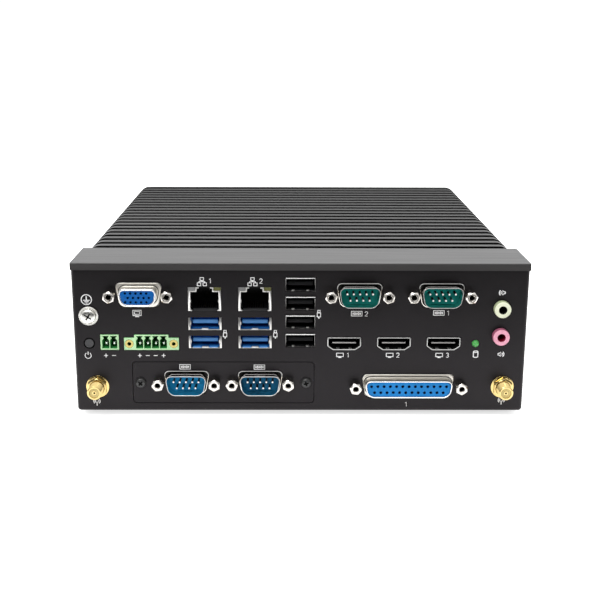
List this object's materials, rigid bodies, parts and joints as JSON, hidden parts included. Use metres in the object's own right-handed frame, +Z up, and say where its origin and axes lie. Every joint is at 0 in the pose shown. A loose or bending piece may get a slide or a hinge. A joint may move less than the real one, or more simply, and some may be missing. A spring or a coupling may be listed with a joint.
{
  "type": "edge computer",
  "caption": "Fanless box computer: a finned heat-sink cover on a shallow housing, with network, USB, serial, video, audio, power and antenna sockets on its front panel.",
  "frame": {"origin": "on the surface under the feet, below the centre of the whole object", "axes": "seen from the front panel, +X right, +Y towards the back, +Z up"},
  "size_m": [0.2, 0.223, 0.0709],
  "materials": {
    "cover_paint": "dark satin anodised",
    "housing_paint": "fine matt black powder coat",
    "foot_rubber": "matt",
    "black_screw": "black oxide",
    "tin_plate": "satin tin plate",
    "nickel": "bright nickel",
    "shield_steel": "bright tinned",
    "vga_blue": "moulded",
    "gpio_blue": "moulded",
    "plug_green": "moulded",
    "plug_teal": "moulded",
    "usb3_blue": "moulded",
    "black_plastic": "moulded",
    "gold": "gold plated",
    "light_lens": "frosted",
    "terminal_green": "moulded",
    "tinned_pin": "tinned",
    "brass": "machined",
    "audio_pink": "moulded",
    "audio_lime": "moulded",
    "led_green": "frosted",
    "lead_jacket": "satin jacket",
    "circuit_board": "solder mask",
    "chip_package": "moulded",
    "bare_aluminium": "machined"
  },
  "bodies": {
    "housing": {"heatsink_cover": "cover_paint", "front_panel": "housing_paint", "rear_panel": "housing_paint", "left_side_wall": "housing_paint", "right_side_wall": "housing_paint", "bottom_cover": "housing_paint", "rubber_feet": "foot_rubber", "housing_screws": "black_screw", "pan_screws": "black_screw", "module_plate": "housing_paint", "module_board": "circuit_board", "vga_shell": "tin_plate", "vga_insulator": "vga_blue", "gpio_shell": "tin_plate", "gpio_insulator": "gpio_blue", "serial_pins": "tinned_pin", "jackscrews": "nickel", "lan_contacts": "gold", "lan_lights": "light_lens", "usb2_shield": "shield_steel", "usb2_insert": "black_plastic", "video_tongues": "black_plastic", "dc_header": "terminal_green", "dc_header_nuts": "brass", "switch_header": "terminal_green", "header_pins": "tinned_pin", "audio_jack_in": "audio_pink", "audio_jack_out": "audio_lime", "drive_led": "led_green", "power_switch": "black_plastic", "ground_screw": "nickel", "antenna_jacks": "gold", "antenna_fasteners": "gold", "antenna_leads": "lead_jacket", "wireless_module": "shield_steel", "mainboard": "circuit_board", "board_standoffs": "brass", "processor": "chip_package", "heat_block": "bare_aluminium", "memory_module": "circuit_board", "memory_socket": "black_plastic", "storage_drive": "bare_aluminium", "com_1_shell": "nickel", "com_1_insulator": "plug_green", "com_2_shell": "nickel", "com_2_insulator": "plug_green", "com_3_shell": "nickel", "com_3_insulator": "plug_teal", "com_4_shell": "nickel", "com_4_insulator": "plug_teal", "lan_usb_shield_1": "shield_steel", "lan_insert_1": "black_plastic", "usb3_insert_1": "usb3_blue", "lan_usb_shield_2": "shield_steel", "lan_insert_2": "black_plastic", "usb3_insert_2": "usb3_blue", "video_shell_1": "shield_steel", "video_shell_2": "shield_steel", "video_shell_3": "shield_steel"},
    "power_button": {"power_button": "black_plastic"}
  },
  "joints": [
    {"name": "power_button_press", "type": "slide", "parent": "housing", "child": "power_button", "axis": [0, 1, 0], "range_m": [0, 0.0005], "stiffness_N_per_m": 2000}
  ]
}
